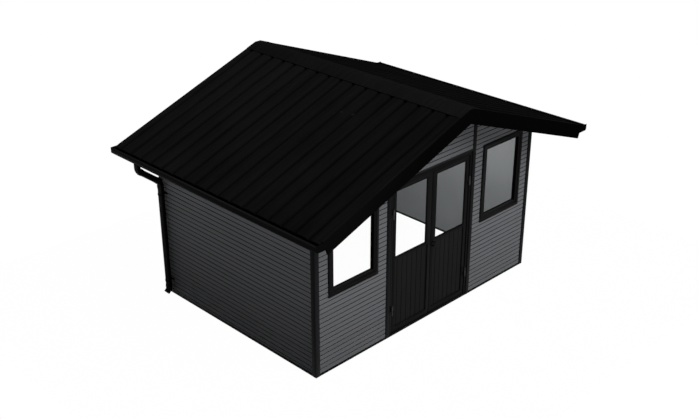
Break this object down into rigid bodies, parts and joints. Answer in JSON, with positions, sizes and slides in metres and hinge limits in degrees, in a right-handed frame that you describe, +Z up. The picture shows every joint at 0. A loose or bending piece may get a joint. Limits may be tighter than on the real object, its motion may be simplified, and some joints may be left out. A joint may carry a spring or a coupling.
{
  "type": "garden shed",
  "caption": "Garden shed with dark grey boarded walls, a ribbed pitched metal roof, glazed double doors that swing outwards and fixed windows in the front gable.",
  "frame": {"origin": "on the ground under the middle of the outline, roof overhangs included", "axes": "+X to the right as seen from the front, +Y towards the back gable, +Z up"},
  "size_m": [4.9306, 3.7666, 2.9851],
  "materials": {
    "frame_metal": "satin black powder coat",
    "cladding": "dark grey stained boards",
    "joinery": "satin black",
    "glazing": "clear",
    "fittings": "black",
    "roof_metal": "matt black coated sheet",
    "roof_timber": "dark stain",
    "rainwater": "satin black"
  },
  "bodies": {
    "building": {"base_rails": "frame_metal", "corner_posts": "frame_metal", "panel_posts": "frame_metal", "left_wall": "cladding", "right_wall": "cladding", "back_wall": "cladding", "front_wall_left": "cladding", "front_wall_right": "cladding", "front_wall_over_door": "cladding", "window_frame_left": "joinery", "window_frame_right": "joinery", "window_glass_left": "glazing", "window_glass_right": "glazing", "door_frame": "joinery", "weather_bar": "joinery", "door_sill": "frame_metal", "frame_hinges": "fittings", "roof_sheet_left": "roof_metal", "roof_sheet_right": "roof_metal", "ridge_cap": "roof_metal", "ridge_beam": "roof_timber", "purlins": "roof_timber", "barge_boards_front": "roof_metal", "barge_boards_back": "roof_metal", "fascia_boards": "roof_metal", "gutter_left": "rainwater", "gutter_right": "rainwater", "downpipe_left": "rainwater", "downpipe_right": "rainwater", "pipe_clips": "rainwater"},
    "left_door": {"left_door_leaf": "joinery", "left_door_panel": "joinery", "left_door_glass": "glazing", "left_door_hinges": "fittings"},
    "right_door": {"right_door_leaf": "joinery", "right_door_panel": "joinery", "right_door_glass": "glazing", "right_door_hinges": "fittings", "door_handle": "fittings"}
  },
  "joints": [
    {"name": "left_door_swing", "type": "hinge", "parent": "building", "child": "left_door", "pos_m": [-0.705, -1.3525, 0.365], "axis": [0, 0, -1], "range_deg": [0, 110]},
    {"name": "right_door_swing", "type": "hinge", "parent": "building", "child": "right_door", "pos_m": [0.705, -1.3525, 0.365], "axis": [0, 0, 1], "range_deg": [0, 110]}
  ]
}
